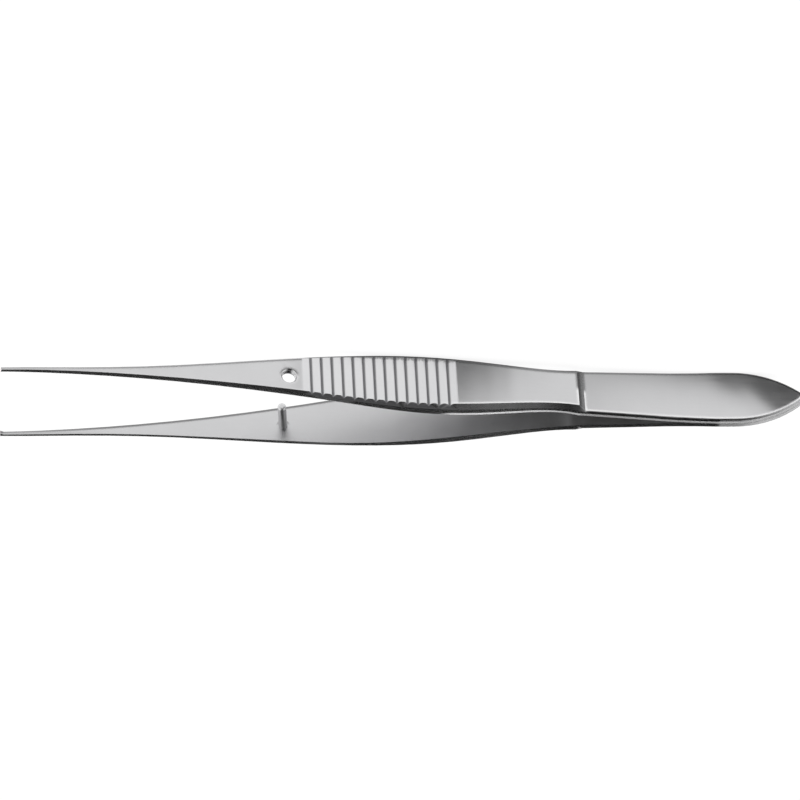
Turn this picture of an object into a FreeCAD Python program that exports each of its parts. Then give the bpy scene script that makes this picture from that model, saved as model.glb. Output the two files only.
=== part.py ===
import FreeCAD, Part
import math
import os

import Sketcher
from FreeCAD import Placement, Rotation, Vector

# Thumb forceps: two sprung arms welded at the butt, and a guide pin that is pressed through one of the arms.
#
# Each arm is drawn in the same arm frame, in millimetres. The origin is the point of the butt on the weld
# plane, +X runs forward to the tip, Y runs across the arm and +Z points outwards, away from the other arm.
# The arm with the guide hole stays as drawn. The arm with the pin, and the pin, are turned half round about X.
# Last, the forceps are laid on their side, as they come to rest on a table: on the edges of both arms, where
# the grip is widest, and on the edge of the butt.
#
# Each section of the blade is placed from the one behind it: run is its distance forward, and rise is how
# much further from the weld plane its inner face lies.

SIZES = [
    ("butt_taper", 8.77, "length of the pointed end of the butt"),
    ("butt_flat", 2.1, "parallel part of the butt, up to where the arms part"),
    ("butt_width", 7.0, "width of the butt"),
    ("butt_nose", 0.8, "rounding of the point of the butt, seen from above"),
    ("spring_thickness", 0.93, "thickness of the spring section and of each half of the butt"),
    ("spring_radius", 90.0, "radius of the inner face where the arms part"),
    ("spring_angle", 5.0, "angle in degrees that each arm leaves the weld plane by"),
    ("spring_run", 9.11, "straight part of the spring section"),
    ("spring_edge", 0.24, "rounding of the long outer edges of the spring section"),
    ("ramp_run", 0.8, "length of the slope up to the thick shank"),
    ("ramp_edge", 0.14, "bevel at the foot of that slope"),
    ("step_width", 5.9, "shank at its thick rear end"),
    ("step_thickness", 1.55, "shank at its thick rear end"),
    ("step_bevel", 0.55, "shank at its thick rear end"),
    ("shank_run", 9.65, "middle of the shank"),
    ("shank_rise", 1.0, "middle of the shank"),
    ("shank_width", 6.55, "middle of the shank"),
    ("shank_thickness", 1.62, "middle of the shank"),
    ("shank_bevel", 0.56, "middle of the shank"),
    ("wide_run", 11.0, "widest place of the grip"),
    ("wide_rise", 1.18, "widest place of the grip"),
    ("wide_width", 7.6, "widest place of the grip"),
    ("wide_thickness", 1.48, "widest place of the grip"),
    ("wide_bevel", 0.56, "widest place of the grip"),
    ("grip_run", 8.0, "front of the grip"),
    ("grip_rise", 1.29, "front of the grip"),
    ("grip_width", 6.6, "front of the grip"),
    ("grip_thickness", 1.0, "front of the grip"),
    ("grip_bevel", 0.44, "front of the grip"),
    ("guide_run", 7.7, "place of the guide pin and its hole"),
    ("guide_rise", 0.82, "place of the guide pin and its hole"),
    ("guide_width", 4.88, "place of the guide pin and its hole"),
    ("guide_thickness", 0.88, "place of the guide pin and its hole"),
    ("guide_bevel", 0.3, "place of the guide pin and its hole"),
    ("neck_run", 9.3, "neck of the blade"),
    ("neck_rise", 0.67, "neck of the blade"),
    ("neck_width", 2.92, "neck of the blade"),
    ("neck_thickness", 0.69, "neck of the blade"),
    ("neck_bevel", 0.22, "neck of the blade"),
    ("taper_run", 12.0, "end of the taper"),
    ("taper_rise", 0.64, "end of the taper"),
    ("taper_width", 1.12, "end of the taper"),
    ("taper_thickness", 0.58, "end of the taper"),
    ("taper_bevel", 0.15, "end of the taper"),
    ("nose_run", 8.0, "slender nose"),
    ("nose_rise", 0.44, "slender nose"),
    ("nose_width", 0.58, "slender nose"),
    ("nose_thickness", 0.5, "slender nose"),
    ("nose_bevel", 0.1, "slender nose"),
    ("tip_run", 6.0, "end of the blade"),
    ("tip_rise", 0.19, "end of the blade"),
    ("tip_width", 0.42, "end of the blade"),
    ("tip_thickness", 0.38, "end of the blade"),
    ("tip_bevel", 0.06, "end of the blade"),
    ("tip_round", 0.22, "rounding of the outer corner of the tip"),
    ("tooth_height", 0.3, "how far the teeth stand in from the tip"),
    ("tooth_length", 0.5, "length of the teeth along the blade"),
    ("tooth_width", 0.12, "width of the single tooth"),
    ("tooth_clearance", 0.03, "gap on each side of the single tooth when the tips meet"),
    ("rib_count", 14, "number of grooves between the ribs of the grip"),
    ("rib_pitch", 1.325, "distance from groove to groove, along the face"),
    ("rib_start", 4.29, "rearmost groove, behind the widest place of the grip"),
    ("rib_lift", 0.02, "height of the tool's crest line over the face, so that it only skims it"),
    ("rib_crown", 0.09, "how far each rib falls away from its crest to its grooves"),
    ("groove_depth", 0.26, "depth of a groove under the crest line"),
    ("groove_width", 0.38, "width of a groove at its top"),
    ("guide_bore", 1.72, "diameter of the guide hole"),
    ("guide_chamfer", 0.17, "countersink of the guide hole"),
    ("guide_offset", 0.25, "how far the pin and its hole lie off the centreline"),
    ("pin_diameter", 1.08, "diameter of the guide pin"),
    ("pin_reach", 4.8, "how far the pin stands out of the inner face"),
    ("pin_dome", 0.26, "height of the pin's domed end"),
    ("pin_dome_width", 0.5, "diameter of the small flat on the dome"),
    ("pin_recess", 0.03, "how far the pin's foot lies under the outer face"),
    ("overcut", 1.0, "how far a cutting tool runs past the metal"),
]

# sections of the blade, from the thick end of the shank to the tip
SECTIONS = ["step", "shank", "wide", "grip", "guide", "neck", "taper", "nose", "tip"]

CLOSE = 0.01  # mm within which two places count as one
STEEPEST_REST = 20.0  # degrees that the forceps may at most be tilted by when they are laid down
HALVINGS = 60  # steps of the search for that tilt


def fill_sheet(doc):
    """Write each size with its alias and its meaning on a row of its own."""
    sheet = doc.addObject("Spreadsheet::Sheet", "sizes")
    for row, (alias, value, meaning) in enumerate(SIZES, start=1):
        sheet.set("A%d" % row, alias)
        sheet.set("B%d" % row, str(value))
        sheet.set("C%d" % row, meaning)
        sheet.setAlias("B%d" % row, alias)
    doc.recompute()
    return sheet


def cell(alias):
    """Expression that reads one size from the sheet."""
    return "<<sizes>>." + alias


def weld_front():
    return "(%s + %s)" % (cell("butt_taper"), cell("butt_flat"))


def bend_end():
    return "(%s + %s * sin(%s * 1 deg))" % (weld_front(), cell("spring_radius"), cell("spring_angle"))


def bend_rise():
    return "(%s * (1 - cos(%s * 1 deg)))" % (cell("spring_radius"), cell("spring_angle"))


def foot_x():
    """Place along X where the spring section meets the slope up to the shank."""
    return "(%s + %s)" % (bend_end(), cell("spring_run"))


def foot_inner():
    """Height of the inner face at that place."""
    return "(%s + %s * tan(%s * 1 deg))" % (bend_rise(), cell("spring_run"), cell("spring_angle"))


def foot_thickness():
    """Thickness of the spring section there, measured along Z."""
    return "(%s / cos(%s * 1 deg))" % (cell("spring_thickness"), cell("spring_angle"))


def section_x(name):
    """Place of a section along X."""
    x = "%s + %s" % (foot_x(), cell("ramp_run"))
    for passed in SECTIONS[1:SECTIONS.index(name) + 1]:
        x += " + " + cell(passed + "_run")
    return "(" + x + ")"


def section_inner(name):
    """Height of the inner face at a section."""
    z = "%s + %s * tan(%s * 1 deg)" % (foot_inner(), cell("ramp_run"), cell("spring_angle"))
    for passed in SECTIONS[1:SECTIONS.index(name) + 1]:
        z += " + " + cell(passed + "_rise")
    return "(" + z + ")"


def section_outer(name):
    """Height of the outer face at a section."""
    return "(%s + %s)" % (section_inner(name), cell(name + "_thickness"))


def face_slope(rear, front, height):
    """Angle of a face between two sections, for an AttachmentOffset."""
    rise = "%s - %s" % (height(front), height(rear))
    run = "%s - %s" % (section_x(front), section_x(rear))
    return "atan((%s) / (%s))" % (rise, run)


def origin_plane(body, role):
    for feature in body.Origin.OriginFeatures:
        if feature.Role == role:
            return feature


def new_sketch(body, name, role):
    sketch = body.newObject("Sketcher::SketchObject", name)
    sketch.AttachmentSupport = [(origin_plane(body, role), "")]
    sketch.MapMode = "FlatFace"
    return sketch


def bind(sketch, constraint, name, expression):
    """Add a named constraint whose value is an expression."""
    index = sketch.addConstraint(constraint)
    sketch.renameConstraint(index, name)
    sketch.setExpression("Constraints." + name, expression)


def polygon(sketch, points):
    """Closed chain of straight edges. The points are only the starting shape: constraints set the real one."""
    count = len(points)
    for number in range(count):
        add_line(sketch, points[number], points[(number + 1) % count])
    for number in range(count):
        join(sketch, "Coincident", number, 2, (number + 1) % count, 1)


def place_corner(sketch, edge, name, x, y):
    """Fix the first point of an edge at (x, y), given as expressions."""
    bind(sketch, Sketcher.Constraint("DistanceX", -1, 1, edge, 1, 1.0), name + "_x", x)
    bind(sketch, Sketcher.Constraint("DistanceY", -1, 1, edge, 1, 1.0), name + "_y", y)


def add_arc(sketch, start, middle, end):
    """Arc through three points. Returns its number and which of its ends are the start and the end."""
    number = sketch.addGeometry(Part.Arc(Vector(*start, 0), Vector(*middle, 0), Vector(*end, 0)), False)
    if sketch.getPoint(number, 1).distanceToPoint(Vector(*start, 0)) < 0.001:
        return number, 1, 2
    return number, 2, 1


def add_line(sketch, start, end):
    return sketch.addGeometry(Part.LineSegment(Vector(*start, 0), Vector(*end, 0)), False)


def join(sketch, kind, *ends):
    sketch.addConstraint(Sketcher.Constraint(kind, *ends))


def blade_section(body, name, x, inner, width, thickness, bevel):
    """Section across the blade: a flat inner face, upright sides and two bevels to the outer face."""
    sketch = new_sketch(body, name, "YZ_Plane")
    sketch.setExpression("AttachmentOffset.Base.z", x)
    start = [(-2, 1), (2, 1), (2, 1.5), (1.5, 2), (-1.5, 2), (-2, 1.5)]
    polygon(sketch, start)
    sketch.addConstraint(Sketcher.Constraint("Symmetric", 0, 1, 0, 2, -2))
    sketch.addConstraint(Sketcher.Constraint("Symmetric", 3, 1, 3, 2, -2))
    sketch.addConstraint(Sketcher.Constraint("Vertical", 1))
    sketch.addConstraint(Sketcher.Constraint("Vertical", 5))
    sketch.addConstraint(Sketcher.Constraint("Horizontal", 1, 2, 5, 1))
    bind(sketch, Sketcher.Constraint("DistanceX", 0, 1, 0, 2, 4.0), "width", width)
    bind(sketch, Sketcher.Constraint("DistanceY", -1, 1, 0, 1, 1.0), "inner", inner)
    bind(sketch, Sketcher.Constraint("DistanceY", 0, 1, 3, 2, 1.0), "thickness", thickness)
    bind(sketch, Sketcher.Constraint("DistanceX", 3, 1, 2, 1, 0.5), "bevel_across", bevel)
    bind(sketch, Sketcher.Constraint("DistanceY", 2, 1, 3, 1, 0.5), "bevel_down", bevel)
    return sketch


def spring_section(body):
    """The thin rear strip: its side profile, cut to its outline as seen from above."""
    profile = new_sketch(body, "spring_profile", "XZ_Plane")
    flat = add_line(profile, (0, 0), (10, 0))
    bend, bend_start, bend_stop = add_arc(profile, (10, 0), (14, 0.1), (18, 0.35))
    rise = add_line(profile, (18, 0.35), (27, 1.1))
    front = add_line(profile, (27, 1.1), (27, 2))
    fall = add_line(profile, (27, 2), (18, 1.3))
    cover, cover_start, cover_stop = add_arc(profile, (18, 1.3), (14, 1.0), (10, 0.9))
    roof = add_line(profile, (10, 0.9), (0, 0.9))
    back = add_line(profile, (0, 0.9), (0, 0))
    join(profile, "Tangent", flat, 2, bend, bend_start)
    join(profile, "Tangent", bend, bend_stop, rise, 1)
    join(profile, "Coincident", rise, 2, front, 1)
    join(profile, "Coincident", front, 2, fall, 1)
    join(profile, "Tangent", fall, 2, cover, cover_start)
    join(profile, "Tangent", cover, cover_stop, roof, 1)
    join(profile, "Coincident", roof, 2, back, 1)
    join(profile, "Coincident", back, 2, flat, 1)
    join(profile, "Coincident", flat, 1, -1, 1)
    join(profile, "Coincident", bend, 3, cover, 3)
    join(profile, "Horizontal", flat)
    join(profile, "Horizontal", roof)
    join(profile, "Parallel", rise, fall)
    join(profile, "Vertical", front)
    join(profile, "Vertical", back)
    bind(profile, Sketcher.Constraint("DistanceX", flat, 1, flat, 2, 10.6), "weld_front", weld_front())
    bind(profile, Sketcher.Constraint("Radius", bend, 90.0), "bend_radius", cell("spring_radius"))
    bind(profile, Sketcher.Constraint("DistanceX", -1, 1, rise, 1, 18.4), "bend_end", bend_end())
    bind(profile, Sketcher.Constraint("DistanceX", -1, 1, rise, 2, 27.2), "foot", foot_x())
    bind(profile, Sketcher.Constraint("DistanceY", back, 2, back, 1, 0.93), "wall", cell("spring_thickness"))
    strip = body.newObject("PartDesign::Pad", "spring_strip")
    strip.Profile = profile
    strip.SideType = "Symmetric"
    strip.setExpression("Length", "%s + 2 * %s" % (cell("butt_width"), cell("overcut")))

    waste = new_sketch(body, "spring_outline", "XY_Plane")
    polygon(waste, [(-1, -5), (28, -5), (28, 5), (-1, 5)])
    behind = "-" + cell("overcut")
    ahead = "%s + %s" % (foot_x(), cell("overcut"))
    beside = "(%s / 2 + 2 * %s)" % (cell("butt_width"), cell("overcut"))
    place_corner(waste, 0, "frame_rear", behind, "-" + beside)
    place_corner(waste, 2, "frame_front", ahead, beside)
    for edge, kind in enumerate(["Horizontal", "Vertical", "Horizontal", "Vertical"]):
        join(waste, kind, edge)
    # the strip's own outline: front edge, and on each side a tapering edge, a parallel butt, half a pointed
    # arch and half of its rounded point
    front = add_line(waste, (28, -2.9), (28, 2.9))
    bind(waste, Sketcher.Constraint("DistanceX", -1, 1, front, 1, 27.2), "foot", foot_x())
    bind(waste, Sketcher.Constraint("DistanceY", front, 1, front, 2, 5.9), "foot_width", cell("step_width"))
    join(waste, "Symmetric", front, 1, front, 2, -1)
    corners = []
    points = []
    for side, front_end in ((-1, 1), (1, 2)):
        taper = add_line(waste, (28, side * 2.9), (10.6, side * 3.5))
        butt = add_line(waste, (10.6, side * 3.5), (8.5, side * 3.5))
        arch, arch_start, arch_stop = add_arc(waste, (8.3, side * 3.5), (3.4, side * 2.3), (0.12, side * 0.28))
        point, point_start, point_stop = add_arc(waste, (0.12, side * 0.28), (0.03, side * 0.15), (0, 0))
        join(waste, "Coincident", front, front_end, taper, 1)
        join(waste, "Coincident", taper, 2, butt, 1)
        join(waste, "Horizontal", butt)
        join(waste, "Tangent", butt, 2, arch, arch_start)
        join(waste, "Tangent", arch, arch_stop, point, point_start)
        join(waste, "Coincident", point, point_stop, -1, 1)
        join(waste, "PointOnObject", point, 3, -1)
        points.append(point)
        corners.append(butt)
    right, left = corners
    join(waste, "Symmetric", right, 1, left, 1, -1)
    join(waste, "Vertical", right, 2, left, 2)
    join(waste, "Equal", *points)
    bind(waste, Sketcher.Constraint("Radius", points[0], 0.4), "point", cell("butt_nose"))
    bind(waste, Sketcher.Constraint("DistanceX", -1, 1, right, 1, 10.6), "parting", weld_front())
    bind(waste, Sketcher.Constraint("DistanceX", -1, 1, right, 2, 8.5), "arch", cell("butt_taper"))
    bind(waste, Sketcher.Constraint("DistanceY", right, 1, left, 1, 7.0), "width", cell("butt_width"))
    trim = body.newObject("PartDesign::Pocket", "spring_trim")
    trim.Profile = waste
    trim.Type = "ThroughAll"
    trim.SideType = "Symmetric"
    return trim


def outer_rim(shape):
    """Names of the edges where an upright side meets the outer face, but for the front end."""
    front = shape.BoundBox.XMax
    names = []
    for number, edge in enumerate(shape.Edges, start=1):
        tilts = []
        for face in shape.ancestorsOfType(edge, Part.Face):
            u_low, u_high, v_low, v_high = face.ParameterRange
            tilts.append(face.normalAt((u_low + u_high) / 2, (v_low + v_high) / 2).z)
        side_and_top = min(abs(tilt) for tilt in tilts) < CLOSE and max(tilts) > 0.5
        if side_and_top and edge.BoundBox.XMin < front - CLOSE:
            names.append("Edge%d" % number)
    return names


def round_spring_edges(doc, body, trim):
    """Round the outer edges of the strip."""
    doc.recompute()
    rim = body.newObject("PartDesign::Fillet", "spring_edges")
    rim.Base = (trim, outer_rim(trim.Shape))
    rim.setExpression("Radius", cell("spring_edge"))
    return rim


def loft(body, name, first, others, ruled):
    feature = body.newObject("PartDesign::AdditiveLoft", name)
    feature.Profile = first
    feature.Sections = [(sketch, "") for sketch in others]
    feature.Ruled = ruled
    return feature


def blade(body):
    """The slope up to the shank, with mitred corners, and the bowed blade in front of it."""
    foot = blade_section(body, "section_foot", foot_x(), foot_inner(), cell("step_width"),
                         foot_thickness(), cell("ramp_edge"))
    sketches = []
    for name in SECTIONS:
        sketch = blade_section(body, "section_" + name, section_x(name), section_inner(name),
                               cell(name + "_width"), cell(name + "_thickness"), cell(name + "_bevel"))
        sketches.append(sketch)
    loft(body, "ramp", foot, sketches[:1], True)
    return loft(body, "bowed_blade", sketches[0], sketches[1:], False)


def ribs(body):
    """Cross grooves that leave a row of crowned ribs on the outer face of the grip."""
    sketch = new_sketch(body, "groove_profile", "XZ_Plane")
    sketch.setExpression("AttachmentOffset.Base.x", section_x("wide"))
    sketch.setExpression("AttachmentOffset.Base.y", section_outer("wide"))
    sketch.AttachmentOffset.Rotation.Axis = Vector(0, 0, 1)
    sketch.setExpression("AttachmentOffset.Rotation.Angle", face_slope("wide", "grip", section_outer))
    # crest, crowned fall, groove, crowned climb, crest, then over the top and back
    fall, crest_rear, rim_rear = add_arc(sketch, (-5.5, 0), (-5.3, -0.008), (-5.0, -0.05))
    down = add_line(sketch, (-5.0, -0.05), (-4.85, -0.22))
    rise = add_line(sketch, (-4.85, -0.22), (-4.7, -0.05))
    climb, rim_front, crest_front = add_arc(sketch, (-4.7, -0.05), (-4.4, -0.008), (-4.2, 0))
    front = add_line(sketch, (-4.2, 0), (-4.2, 1))
    roof = add_line(sketch, (-4.2, 1), (-5.5, 1))
    rear = add_line(sketch, (-5.5, 1), (-5.5, 0))
    join(sketch, "Coincident", fall, rim_rear, down, 1)
    join(sketch, "Coincident", down, 2, rise, 1)
    join(sketch, "Coincident", rise, 2, climb, rim_front)
    join(sketch, "Coincident", front, 2, roof, 1)
    join(sketch, "Coincident", roof, 2, rear, 1)
    # each arc meets the upright sides squarely at its crest, so that neighbouring ribs run on smoothly
    join(sketch, "Perpendicular", climb, crest_front, front, 1)
    join(sketch, "Perpendicular", rear, 2, fall, crest_rear)
    join(sketch, "Vertical", front)
    join(sketch, "Vertical", rear)
    join(sketch, "Horizontal", roof)
    join(sketch, "Horizontal", down, 1, rise, 2)
    join(sketch, "Horizontal", front, 1, rear, 2)
    place = "-" + cell("rib_start")
    bind(sketch, Sketcher.Constraint("DistanceX", -1, 1, rise, 1, -4.85), "place", place)
    depth = "%s - %s" % (cell("rib_lift"), cell("groove_depth"))
    half_groove = cell("groove_width") + " / 2"
    half_pitch = cell("rib_pitch") + " / 2"
    bind(sketch, Sketcher.Constraint("DistanceY", -1, 1, rise, 1, -0.2), "depth", depth)
    bind(sketch, Sketcher.Constraint("DistanceX", down, 1, down, 2, 0.19), "rear_half", half_groove)
    bind(sketch, Sketcher.Constraint("DistanceX", rise, 1, rise, 2, 0.19), "front_half", half_groove)
    bind(sketch, Sketcher.Constraint("DistanceX", rise, 1, front, 1, 0.67), "front_crest", half_pitch)
    bind(sketch, Sketcher.Constraint("DistanceX", rear, 2, rise, 1, 0.67), "rear_crest", half_pitch)
    bind(sketch, Sketcher.Constraint("DistanceY", rise, 2, front, 1, 0.05), "crown", cell("rib_crown"))
    bind(sketch, Sketcher.Constraint("DistanceY", -1, 1, front, 1, 0.02), "lift", cell("rib_lift"))
    bind(sketch, Sketcher.Constraint("DistanceY", front, 1, front, 2, 1.0), "over", cell("overcut"))
    groove = body.newObject("PartDesign::Pocket", "groove")
    groove.Profile = sketch
    groove.SideType = "Symmetric"
    groove.setExpression("Length", "%s + 2 * %s" % (cell("wide_width"), cell("overcut")))
    row = body.newObject("PartDesign::LinearPattern", "grooves")
    row.Originals = [groove]
    row.Direction = (sketch, ["H_Axis"])
    row.setExpression("Occurrences", cell("rib_count"))
    row.setExpression("Length", "%s * (%s - 1)" % (cell("rib_pitch"), cell("rib_count")))
    body.Tip = row
    return row


def on_guide_axis(body, name, side):
    """Sketch whose origin is on the inner face at the guide, and whose V axis stands square to that face."""
    sketch = new_sketch(body, name, "XZ_Plane")
    sketch.setExpression("AttachmentOffset.Base.x", section_x("guide"))
    sketch.setExpression("AttachmentOffset.Base.y", section_inner("guide"))
    sketch.setExpression("AttachmentOffset.Base.z", "%d * %s" % (side, cell("guide_offset")))
    sketch.AttachmentOffset.Rotation.Axis = Vector(0, 0, 1)
    sketch.setExpression("AttachmentOffset.Rotation.Angle", face_slope("grip", "neck", section_inner))
    return sketch


def turned_bore(body, name, side, radius, chamfer):
    """Round hole through the blade, turned about the guide axis, with a countersink if one is asked for."""
    sketch = on_guide_axis(body, name + "_profile", side)
    wall = cell("guide_thickness")
    below = "-" + cell("overcut")
    above = "%s + %s" % (wall, cell("overcut"))
    if chamfer:
        polygon(sketch, [(0, -1), (0.9, -1), (0.9, 0.7), (2.1, 1.9), (0, 1.9)])
        place_corner(sketch, 2, "neck", radius, "%s - %s" % (wall, chamfer))
        place_corner(sketch, 3, "mouth", "%s + %s + %s" % (radius, chamfer, cell("overcut")), above)
        last = 4
    else:
        polygon(sketch, [(0, -1), (0.9, -1), (0.9, 1.9), (0, 1.9)])
        place_corner(sketch, 2, "mouth", radius, above)
        last = 3
    place_corner(sketch, 0, "centre", "0", below)
    sketch.addConstraint(Sketcher.Constraint("Horizontal", 0))
    sketch.addConstraint(Sketcher.Constraint("Vertical", 1))
    sketch.addConstraint(Sketcher.Constraint("Horizontal", last - 1))
    sketch.addConstraint(Sketcher.Constraint("Vertical", last))
    bore = body.newObject("PartDesign::Groove", name)
    bore.Profile = sketch
    bore.ReferenceAxis = (sketch, ["V_Axis"])
    bore.Angle = 360.0
    return bore


def tip_corner(body):
    """Round the outer corner of the tip, seen from the side."""
    sketch = new_sketch(body, "tip_corner", "XZ_Plane")
    sketch.setExpression("AttachmentOffset.Base.x", section_x("tip"))
    sketch.setExpression("AttachmentOffset.Base.y", section_outer("tip"))
    curve, low, high = add_arc(sketch, (0, -0.2), (-0.06, -0.06), (-0.2, 0))
    rear = add_line(sketch, (-0.2, 0), (-0.2, 1))
    roof = add_line(sketch, (-0.2, 1), (1, 1))
    front = add_line(sketch, (1, 1), (1, -0.2))
    floor = add_line(sketch, (1, -0.2), (0, -0.2))
    join(sketch, "Coincident", curve, high, rear, 1)
    join(sketch, "Coincident", rear, 2, roof, 1)
    join(sketch, "Coincident", roof, 2, front, 1)
    join(sketch, "Coincident", front, 2, floor, 1)
    join(sketch, "Coincident", floor, 2, curve, low)
    join(sketch, "Vertical", rear)
    join(sketch, "Horizontal", roof)
    join(sketch, "Vertical", front)
    join(sketch, "Horizontal", floor)
    join(sketch, "Vertical", curve, low, -1, 1)
    join(sketch, "Horizontal", curve, high, -1, 1)
    bind(sketch, Sketcher.Constraint("Radius", curve, 0.2), "radius", cell("tip_round"))
    bind(sketch, Sketcher.Constraint("DistanceX", rear, 1, -1, 1, 0.2), "back", cell("tip_round"))
    bind(sketch, Sketcher.Constraint("DistanceY", floor, 2, -1, 1, 0.2), "down", cell("tip_round"))
    bind(sketch, Sketcher.Constraint("DistanceX", -1, 1, front, 1, 1.0), "ahead", cell("overcut"))
    bind(sketch, Sketcher.Constraint("DistanceY", -1, 1, front, 1, 1.0), "over", cell("overcut"))
    corner = body.newObject("PartDesign::Pocket", "tip_rounding")
    corner.Profile = sketch
    corner.SideType = "Symmetric"
    corner.setExpression("Length", "%s + 2 * %s" % (cell("tip_width"), cell("overcut")))
    return corner


def tooth_profile(body, name, reach):
    """Side view of a tooth: upright at the tip's end, sloping back to the blade."""
    sketch = new_sketch(body, name, "XZ_Plane")
    sketch.setExpression("AttachmentOffset.Base.x", section_x("tip"))
    sketch.setExpression("AttachmentOffset.Base.y", section_inner("tip"))
    polygon(sketch, [(0, 0.1), (-0.5, 0.1), (-0.5, 0), (0, -0.3)])
    root = "%s / 2" % cell("tip_thickness")
    place_corner(sketch, 0, "root", "0", root)
    place_corner(sketch, 2, "heel", "-" + cell("tooth_length"), "-%s * %s / %s" % (
        cell("tip_rise"), cell("tooth_length"), cell("tip_run")))
    place_corner(sketch, 3, "point", "0", "-" + reach)
    sketch.addConstraint(Sketcher.Constraint("Horizontal", 0))
    sketch.addConstraint(Sketcher.Constraint("Vertical", 1))
    return sketch


def single_tooth(body):
    """The holed arm's one tooth, on the centreline."""
    tooth = body.newObject("PartDesign::Pad", "tooth")
    tooth.Profile = tooth_profile(body, "tooth_profile", cell("tooth_height"))
    tooth.SideType = "Symmetric"
    tooth.setExpression("Length", cell("tooth_width"))
    return tooth


def tooth_pair(body):
    """The pinned arm's two teeth, with a slot between them that takes the other arm's tooth."""
    teeth = body.newObject("PartDesign::Pad", "teeth")
    teeth.Profile = tooth_profile(body, "teeth_profile", cell("tooth_height"))
    teeth.SideType = "Symmetric"
    teeth.setExpression("Length", cell("tip_width"))
    slot_sketch = new_sketch(body, "slot_profile", "XZ_Plane")
    slot_sketch.setExpression("AttachmentOffset.Base.x", section_x("tip"))
    slot_sketch.setExpression("AttachmentOffset.Base.y", section_inner("tip"))
    polygon(slot_sketch, [(1, -1), (1, 0), (-0.5, 0), (-0.5, -1)])
    heel = "-%s * %s / %s" % (cell("tip_rise"), cell("tooth_length"), cell("tip_run"))
    place_corner(slot_sketch, 0, "ahead", cell("overcut"), "-" + cell("overcut"))
    place_corner(slot_sketch, 2, "heel", "-" + cell("tooth_length"), heel)
    slot_sketch.addConstraint(Sketcher.Constraint("Vertical", 0))
    slot_sketch.addConstraint(Sketcher.Constraint("Vertical", 2))
    slot_sketch.addConstraint(Sketcher.Constraint("Horizontal", 3))
    slope = "%s * %s / %s" % (cell("overcut"), cell("tip_rise"), cell("tip_run"))
    bind(slot_sketch, Sketcher.Constraint("DistanceY", -1, 1, 1, 1, 0.03), "rise", slope)
    slot = body.newObject("PartDesign::Pocket", "tooth_slot")
    slot.Profile = slot_sketch
    slot.SideType = "Symmetric"
    slot.setExpression("Length", "%s + 2 * %s" % (cell("tooth_width"), cell("tooth_clearance")))
    return slot


def new_body(doc, label):
    body = doc.addObject("PartDesign::Body", label)
    body.Label = label
    return body


def common_arm(doc, label):
    """What both arms share: butt, spring section, shank, bowed blade, ribs and rounded tip."""
    body = new_body(doc, label)
    trim = spring_section(body)
    round_spring_edges(doc, body, trim)
    blade(body)
    tip_corner(body)
    ribs(body)
    return body


def hole_arm(doc):
    body = common_arm(doc, "hole_arm")
    turned_bore(body, "guide_hole", -1, cell("guide_bore") + " / 2", cell("guide_chamfer"))
    body.Tip = single_tooth(body)
    return body


def pin_arm(doc):
    body = common_arm(doc, "pin_arm")
    turned_bore(body, "pin_seat", 1, cell("pin_diameter") + " / 2", None)
    body.Tip = tooth_pair(body)
    return body


def guide_pin(doc):
    """Turned pin: its foot is flush in its arm and its domed end points at the other arm's hole."""
    body = new_body(doc, "guide_pin")
    sketch = on_guide_axis(body, "pin_profile", 1)
    radius = cell("pin_diameter") + " / 2"
    axis = add_line(sketch, (0, 0.8), (0, -4.8))
    flat = add_line(sketch, (0, -4.8), (0.25, -4.8))
    dome, dome_start, dome_stop = add_arc(sketch, (0.25, -4.8), (0.46, -4.7), (0.54, -4.5))
    side = add_line(sketch, (0.54, -4.5), (0.54, 0.8))
    foot = add_line(sketch, (0.54, 0.8), (0, 0.8))
    join(sketch, "Coincident", axis, 2, flat, 1)
    join(sketch, "Coincident", flat, 2, dome, dome_start)
    join(sketch, "Coincident", side, 2, foot, 1)
    join(sketch, "Coincident", foot, 2, axis, 1)
    join(sketch, "Tangent", dome, dome_stop, side, 1)
    join(sketch, "PointOnObject", axis, 1, -2)
    join(sketch, "PointOnObject", axis, 2, -2)
    join(sketch, "Horizontal", flat)
    join(sketch, "Vertical", side)
    join(sketch, "Horizontal", foot)
    bind(sketch, Sketcher.Constraint("DistanceX", -1, 1, side, 1, 0.54), "radius", radius)
    bind(sketch, Sketcher.Constraint("DistanceX", flat, 1, flat, 2, 0.25), "flat", cell("pin_dome_width") + " / 2")
    bind(sketch, Sketcher.Constraint("DistanceY", flat, 2, -1, 1, 4.8), "reach", cell("pin_reach"))
    bind(sketch, Sketcher.Constraint("DistanceY", flat, 2, side, 1, 0.26), "dome", cell("pin_dome"))
    depth = "%s - %s" % (cell("guide_thickness"), cell("pin_recess"))
    bind(sketch, Sketcher.Constraint("DistanceY", -1, 1, side, 2, 0.8), "foot", depth)
    turned = body.newObject("PartDesign::Revolution", "turned_pin")
    turned.Profile = sketch
    turned.ReferenceAxis = (sketch, ["V_Axis"])
    turned.Angle = 360.0
    body.Tip = turned
    return body


def lowest(points, angle):
    """Smallest height of the points once they are turned about Y by an angle."""
    return min(point.z * math.cos(angle) - point.x * math.sin(angle) for point in points)


def rest_angle(shape):
    """Angle about Y that lets the forceps touch the table with both the butt and the grip."""
    points = shape.tessellate(CLOSE)[0]
    middle = shape.BoundBox.Center.x / 2
    rear = [point for point in points if point.x < middle]
    front = [point for point in points if point.x >= middle]
    low, high = math.radians(-STEEPEST_REST), math.radians(STEEPEST_REST)
    for step in range(HALVINGS):
        angle = (low + high) / 2
        if lowest(front, angle) < lowest(rear, angle):
            high = angle
        else:
            low = angle
    return angle


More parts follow.
